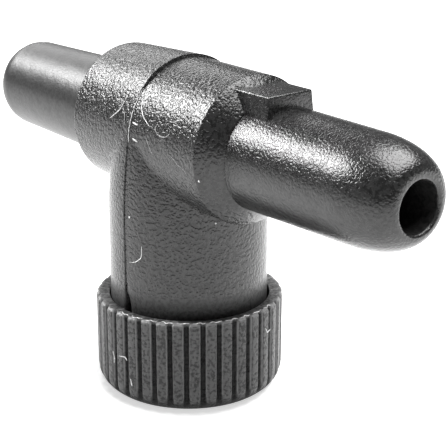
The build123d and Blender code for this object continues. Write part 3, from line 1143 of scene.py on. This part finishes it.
def handle_plastic(name, arm_depth, arm_rough):
    made, tree, shader, place = material(name, 0.2)
    parts = apart(tree, place)
    along = math_node(tree, "ABSOLUTE", parts["X"])
    arm_share = spread_out(tree, along, (BARREL_END_X + 0.3) * MM, (SHOULDER_X + 0.4) * MM)
    body_grain = place_group(tree, grain, Vector=place, Pits_per_metre=2400.0, Depth=1.15, Waviness=0.45)
    arm_grain = place_group(tree, grain, Vector=place, Pits_per_metre=3300.0, Depth=arm_depth, Waviness=0.35)
    bump(tree, shader, between(tree, arm_share, body_grain["Height"], arm_grain["Height"]), 0.00012)
    rough = spread_out(tree, arm_share, 0.0, 1.0, 0.22, arm_rough)
    from_hole = distance_out(tree, parts["Y"], math_node(tree, "SUBTRACT", parts["Z"], HOLE_Z * MM))
    bore = spread_out(tree, from_hole, (ACCESS_R + 0.14) * MM, (ACCESS_R + 0.04) * MM, to_high=0.12)
    foot = spread_out(tree, parts["Z"], (COLLAR_TOP + 2.8) * MM, (COLLAR_TOP + 0.6) * MM, to_high=0.6)
    dull = math_node(tree, "ADD", foot, bore)
    tree.links.new(math_node(tree, "ADD", rough, dull, True), shader.inputs["Roughness"])
    tree.links.new(ramp(tree, body_grain["Pits"], grey(0.005), grey(0.018), PIT_LOW, PIT_HIGH),
                   shader.inputs["Base Color"])
    return made


milky, milky_tree, milky_shader, milky_place = material("milky_flash", 0.45)
milky_grain = place_group(milky_tree, grain, Vector=milky_place, Pits_per_metre=3000.0)
milky_tree.links.new(ramp(milky_tree, milky_grain["Pits"], grey(0.4), grey(0.75), PIT_LOW, PIT_HIGH),
                     milky_shader.inputs["Base Color"])
skin(right, handle_plastic("pitted_black_right", 0.55, 0.22), milky)
skin(left, handle_plastic("pitted_black_left", 0.14, 0.36), milky)


# %% [markdown]
# The collar's grooves are painted near-black as painted shade, so its ridge tops
# are paler than the grooves. The ridge corners get a painted highlight, the crest
# a painted highlight broken up by pits, both in light grey, and the edge mask adds
# edge wear with a painted highlight. Masks tell these places apart: distance from
# the stem's axis for tops and corners, and height for the crest.

# %% Plastic of the collar
def collar_plastic():
    """Mid-dark ridge tops, and rougher grooves between them, painted blacker as painted shade."""
    made, tree, shader, place = material("ridged_black", 0.4)
    shader.inputs["Specular IOR Level"].default_value = 0.25
    parts = apart(tree, place)
    out = distance_out(tree, parts["X"], parts["Y"])
    top = spread_out(tree, out, (COLLAR_R - 0.45) * MM, (COLLAR_R - 0.08) * MM)
    rim = spread_out(tree, parts["Z"], (COLLAR_TOP - 0.5) * MM, (COLLAR_TOP - 0.2) * MM)
    on_top = math_node(tree, "MAXIMUM", top, rim)
    skin_grain = place_group(tree, grain, Vector=place, Pits_per_metre=2600.0, Depth=0.65, Waviness=0.3)
    pitted = place_group(tree, grain, Vector=place, Pits_per_metre=2100.0, Depth=1.6, Waviness=0.2)
    bump(tree, shader, between(tree, on_top, pitted["Height"], skin_grain["Height"]), 0.0002)
    tree.links.new(spread_out(tree, on_top, 0.0, 1.0, 0.55, 0.34), shader.inputs["Roughness"])
    top_tone = ramp(tree, skin_grain["Pits"], grey(0.016), grey(0.07), PIT_LOW, PIT_HIGH)
    # painted shade: everything off the ridge tops and the top face is painted near-black
    tone = between(tree, on_top, grey(0.002), top_tone, colours=True)

    # painted highlight: a narrow band at each ridge corner, kept above the foot's rounding, is lightened where
    # light would catch it
    corner_highlight_band = math_node(tree, "MULTIPLY", math_node(tree, "POWER", top, 3.0),
                      math_node(tree, "SUBTRACT", 1.0, top))
    above_foot = spread_out(tree, parts["Z"], 0.7 * FOOT_ROUND * MM, FOOT_ROUND * MM)
    corner = math_node(tree, "MULTIPLY", math_node(tree, "MULTIPLY", corner_highlight_band, 7.0), above_foot)
    # painted highlight along the crest of the top, broken up by the pit grain into a jagged line
    crest = spread_out(tree, out, (COLLAR_R - TOP_BEVEL - 0.5) * MM, (COLLAR_R - TOP_BEVEL) * MM)
    crest_pits = math_node(tree, "MULTIPLY", pitted["Pits"], crest)
    crest_highlight = math_node(tree, "MULTIPLY", math_node(tree, "MULTIPLY", rim, crest_pits), 1.6)
    # edge wear and the painted highlights together lighten the tone towards light grey
    worn = place_group(tree, edges, Amount=0.7)["Edge"]
    bright = math_node(tree, "ADD", math_node(tree, "ADD", worn, crest_highlight), corner, True)
    tree.links.new(between(tree, bright, tone, grey(0.2), colours=True), shader.inputs["Base Color"])
    return made


skin(collar, collar_plastic(), milky)


# %% [markdown]
# The metal and rubber pieces are small and mostly hidden, but each has its own
# skin: turned brass with fine rings, zinc-bright steel, milky nylon, and rubber.
# Noise squeezed along one axis stands for the tool marks, which run round.

# %% Metals, nylon and rubber
def metal(name, dark, light, roughness, lines_per_metre, squeeze):
    """Metal with fine tool marks, squeezed along one axis so that they run round it."""
    made, tree, shader, place = material(name, roughness, 1.0)
    stretch = tree.nodes.new("ShaderNodeMapping")
    stretch.inputs["Scale"].default_value = squeeze
    tree.links.new(place, stretch.inputs["Vector"])
    marks = noise_node(tree, stretch.outputs["Vector"], lines_per_metre, 3.0, 0.6)
    tree.links.new(ramp(tree, marks, dark, light), shader.inputs["Base Color"])
    bump(tree, shader, marks, 0.00003, 0.6)
    return made


turned_brass = metal("turned_brass", (0.5, 0.32, 0.1, 1), (0.8, 0.56, 0.22, 1), 0.28, 900.0, (0.2, 0.2, 4.0))
zinc_steel = metal("zinc_steel", grey(0.35), grey(0.62), 0.3, 900.0, (4.0, 0.3, 0.3))
spring_steel = metal("spring_steel", grey(0.25), grey(0.5), 0.36, 700.0, (3.0, 0.5, 0.5))
skin(brass, turned_brass)
skin(insert, turned_brass)
skin(screw, zinc_steel)
skin(washer, spring_steel)


def soft_stuff(name, dark, light, roughness, pits_per_metre, depth):
    """Nylon or rubber, with the grain of its mould."""
    made, tree, shader, place = material(name, roughness)
    face = place_group(tree, grain, Vector=place, Pits_per_metre=pits_per_metre, Depth=depth, Waviness=0.2)
    bump(tree, shader, face["Height"], 0.00006, 0.5)
    tree.links.new(ramp(tree, face["Pits"], dark, light, PIT_LOW, PIT_HIGH), shader.inputs["Base Color"])
    return made


skin(thrust, soft_stuff("milky_nylon", (0.74, 0.72, 0.66, 1), (0.86, 0.85, 0.8, 1), 0.45, 1500.0, 0.5))
skin(seal, soft_stuff("black_rubber", grey(0.012), grey(0.03), 0.6, 3000.0, 0.6))
